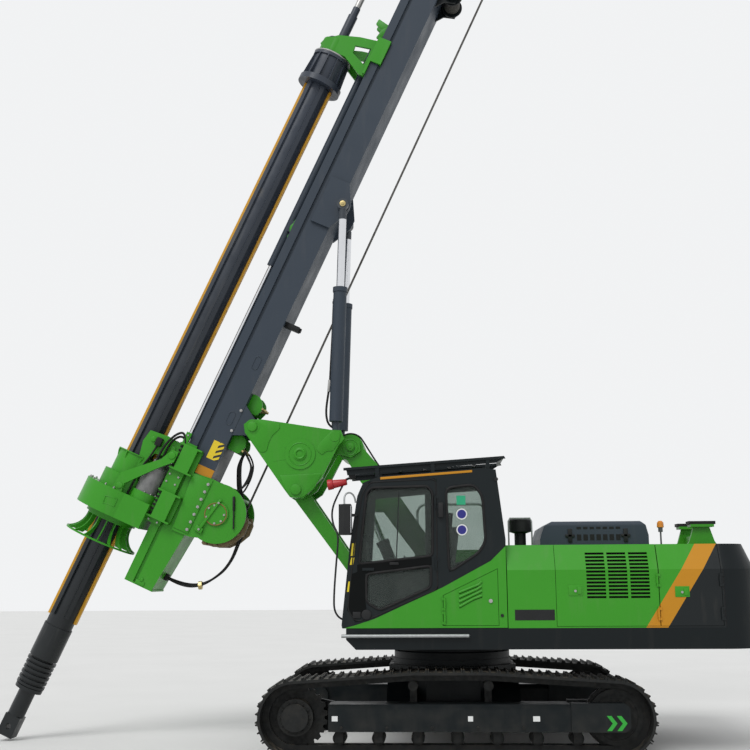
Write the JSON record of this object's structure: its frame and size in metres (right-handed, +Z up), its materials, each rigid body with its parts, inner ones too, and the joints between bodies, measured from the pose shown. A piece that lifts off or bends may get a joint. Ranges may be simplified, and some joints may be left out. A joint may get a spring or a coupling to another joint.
{
  "type": "crawler rotary drilling rig",
  "caption": "Crawler rotary drilling rig with a slewing deck and cab, a parallelogram linkage, a tall tilting mast, a rotary drive and a telescopic kelly bar.",
  "frame": {"origin": "bottom centre of the whole rig's bounding box, under the tracks", "axes": "+Z up, +X towards the mast and kelly bar, +Y to the machine's left, the cab side"},
  "size_m": [9.0818, 3.17, 14.1706],
  "materials": {
    "green_paint": "gloss",
    "dark_paint": "satin",
    "yellow_paint": "satin",
    "light_paint": "satin",
    "track_steel": "rough",
    "bare_steel": "brushed",
    "chrome_rod": "polished",
    "cab_pane": "clear",
    "black_plastic": "matte",
    "amber_plastic": "gloss",
    "black_rubber": "matte",
    "seat_fabric": "woven"
  },
  "bodies": {
    "undercarriage": {"track_left": "track_steel", "track_right": "track_steel", "sprockets": "track_steel", "idlers": "track_steel", "track_rollers": "track_steel", "carrier_rollers": "track_steel", "side_frames": "dark_paint", "centre_frame": "dark_paint", "slew_ring": "dark_paint"},
    "upper": {"main_frame": "dark_paint", "counterweight": "dark_paint", "house": "green_paint", "engine_block": "track_steel", "right_housing": "green_paint", "cab_shell": "dark_paint", "cab_glass": "cab_pane", "cab_guard": "dark_paint", "seat": "seat_fabric", "consoles": "black_plastic", "side_cover": "green_paint", "pre_cleaner": "black_plastic", "beacon": "amber_plastic", "mast_rest": "green_paint", "rest_pads": "black_rubber", "deck_rail": "light_paint", "mirror": "black_plastic"},
    "cab_door": {"cab_door": "dark_paint", "cab_door_glass": "cab_pane"},
    "grille_door": {"grille_door": "green_paint"},
    "rear_door": {"rear_door": "green_paint"},
    "right_door": {"right_door": "green_paint"},
    "louvre_door": {"louvre_door": "green_paint"},
    "engine_hood": {"engine_hood": "dark_paint"},
    "boom": {"boom": "green_paint"},
    "support_link": {"support_link": "green_paint"},
    "triangle": {"triangle": "green_paint"},
    "luff_barrel": {"luff_barrel": "dark_paint"},
    "luff_rod": {"luff_rod": "chrome_rod"},
    "mast_barrels": {"mast_barrels": "dark_paint"},
    "mast_rods": {"mast_rods": "chrome_rod"},
    "mast": {"mast_lower": "green_paint", "mast": "dark_paint", "mast_head": "dark_paint", "crowd_barrel": "dark_paint", "main_winch": "green_paint", "aux_winch": "dark_paint"},
    "main_drum": {"main_drum": "bare_steel"},
    "aux_drum": {"aux_drum": "dark_paint"},
    "front_sheave": {"front_sheave": "dark_paint"},
    "rear_sheave": {"rear_sheave": "dark_paint"},
    "carriage": {"carriage": "green_paint", "gearbox": "green_paint", "drive_motors": "black_plastic", "crowd_rod": "chrome_rod"},
    "drive_sleeve": {"drive_sleeve": "green_paint"},
    "kelly_guide": {"kelly_guide": "green_paint", "swivel": "bare_steel"},
    "kelly": {"kelly": "bare_steel", "kelly_keys": "yellow_paint", "kelly_inner": "bare_steel"}
  },
  "joints": [
    {"name": "slew", "type": "hinge", "parent": "undercarriage", "child": "upper", "pos_m": [-1.10094, 0, 1.09], "axis": [0, 0, 1], "continuous": true},
    {"name": "boom_luff", "type": "hinge", "parent": "upper", "child": "boom", "pos_m": [-0.96794, 0, 2.04], "axis": [0, 1, 0], "range_deg": [-15, 30]},
    {"name": "support_link_turn", "type": "hinge", "parent": "upper", "child": "support_link", "pos_m": [-0.31094, 0, 1.5], "axis": [0, 1, 0], "range_deg": [-16, 31]},
    {"name": "triangle_level", "type": "hinge", "parent": "boom", "child": "triangle", "pos_m": [0.12706, 0, 3.569], "axis": [0, 1, 0], "range_deg": [-31, 16]},
    {"name": "luff_barrel_turn", "type": "hinge", "parent": "upper", "child": "luff_barrel", "pos_m": [-0.62094, 0, 1.53], "axis": [0, 1, 0], "range_deg": [-12.8, 24.6]},
    {"name": "luff_stroke", "type": "slide", "parent": "luff_barrel", "child": "luff_rod", "axis": [0.3848, 0, 0.923], "range_m": [-0.291, 0.148]},
    {"name": "mast_tilt", "type": "hinge", "parent": "triangle", "child": "mast", "pos_m": [1.33406, 0, 3.818], "axis": [0, -1, 0], "range_deg": [-29.5, 65.5]},
    {"name": "mast_barrels_turn", "type": "hinge", "parent": "triangle", "child": "mast_barrels", "pos_m": [0.30506, 0, 3.681], "axis": [0, -1, 0], "range_deg": [-32.8, 71.6]},
    {"name": "mast_stroke", "type": "slide", "parent": "mast_barrels", "child": "mast_rods", "axis": [-0.0317, 0, 0.9995], "range_m": [-1, 0.453]},
    {"name": "crowd", "type": "slide", "parent": "mast", "child": "carriage", "axis": [-0.4147, 0, 0.91], "range_m": [-0.55, 2.3]},
    {"name": "kelly_hoist", "type": "slide", "parent": "mast", "child": "kelly_guide", "axis": [-0.4147, 0, 0.91], "range_m": [-4.5, 1.6]},
    {"name": "drive_spin", "type": "hinge", "parent": "carriage", "child": "drive_sleeve", "pos_m": [2.49881, 0, 4.34881], "axis": [-0.4147, 0, 0.91], "continuous": true},
    {"name": "kelly_spin", "type": "hinge", "parent": "kelly_guide", "child": "kelly", "pos_m": [2.49881, 0, 4.34881], "axis": [-0.4147, 0, 0.91], "continuous": true},
    {"name": "main_drum_spin", "type": "hinge", "parent": "mast", "child": "main_drum", "pos_m": [1.77416, 0, 2.74378], "axis": [0, 1, 0], "continuous": true},
    {"name": "aux_drum_spin", "type": "hinge", "parent": "mast", "child": "aux_drum", "pos_m": [-1.27045, 0, 9.77422], "axis": [0, 1, 0], "continuous": true},
    {"name": "front_sheave_spin", "type": "hinge", "parent": "mast", "child": "front_sheave", "pos_m": [-2.15092, 0, 13.90063], "axis": [0, 1, 0], "continuous": true},
    {"name": "rear_sheave_spin", "type": "hinge", "parent": "mast", "child": "rear_sheave", "pos_m": [-3.05098, 0, 13.51243], "axis": [0, 1, 0], "continuous": true},
    {"name": "cab_door_swing", "type": "hinge", "parent": "upper", "child": "cab_door", "pos_m": [-0.92394, 1.431, 1.9], "axis": [0, 0, 1], "range_deg": [0, 150]},
    {"name": "louvre_door_swing", "type": "hinge", "parent": "upper", "child": "louvre_door", "pos_m": [-1.01194, 1.431, 1.5], "axis": [0, 0, 1], "range_deg": [-100, 0]},
    {"name": "grille_door_swing", "type": "hinge", "parent": "upper", "child": "grille_door", "pos_m": [-3.37394, 1.431, 1.5], "axis": [0, 0, 1], "range_deg": [0, 110]},
    {"name": "rear_door_swing", "type": "hinge", "parent": "upper", "child": "rear_door", "pos_m": [-4.06394, 1.431, 1.5], "axis": [0, 0, 1], "range_deg": [0, 110]},
    {"name": "right_door_swing", "type": "hinge", "parent": "upper", "child": "right_door", "pos_m": [-3.37394, -1.431, 1.5], "axis": [0, 0, -1], "range_deg": [0, 110]},
    {"name": "hood_lift", "type": "hinge", "parent": "upper", "child": "engine_hood", "pos_m": [-3.47794, 0, 2.324], "axis": [0, 1, 0], "range_deg": [-60, 0]}
  ],
  "couplings": [
    {"joint": "support_link_turn", "follows": "boom_luff", "ratio": 1},
    {"joint": "triangle_level", "follows": "boom_luff", "ratio": -1},
    {"joint": "luff_barrel_turn", "follows": "boom_luff", "ratio": 0.7875},
    {"joint": "luff_stroke", "follows": "boom_luff", "m_per_rad": -0.5457},
    {"joint": "mast_barrels_turn", "follows": "mast_tilt", "ratio": 1.0775},
    {"joint": "mast_stroke", "follows": "mast_tilt", "m_per_rad": -0.8703},
    {"joint": "kelly_spin", "follows": "drive_spin", "ratio": 1}
  ]
}
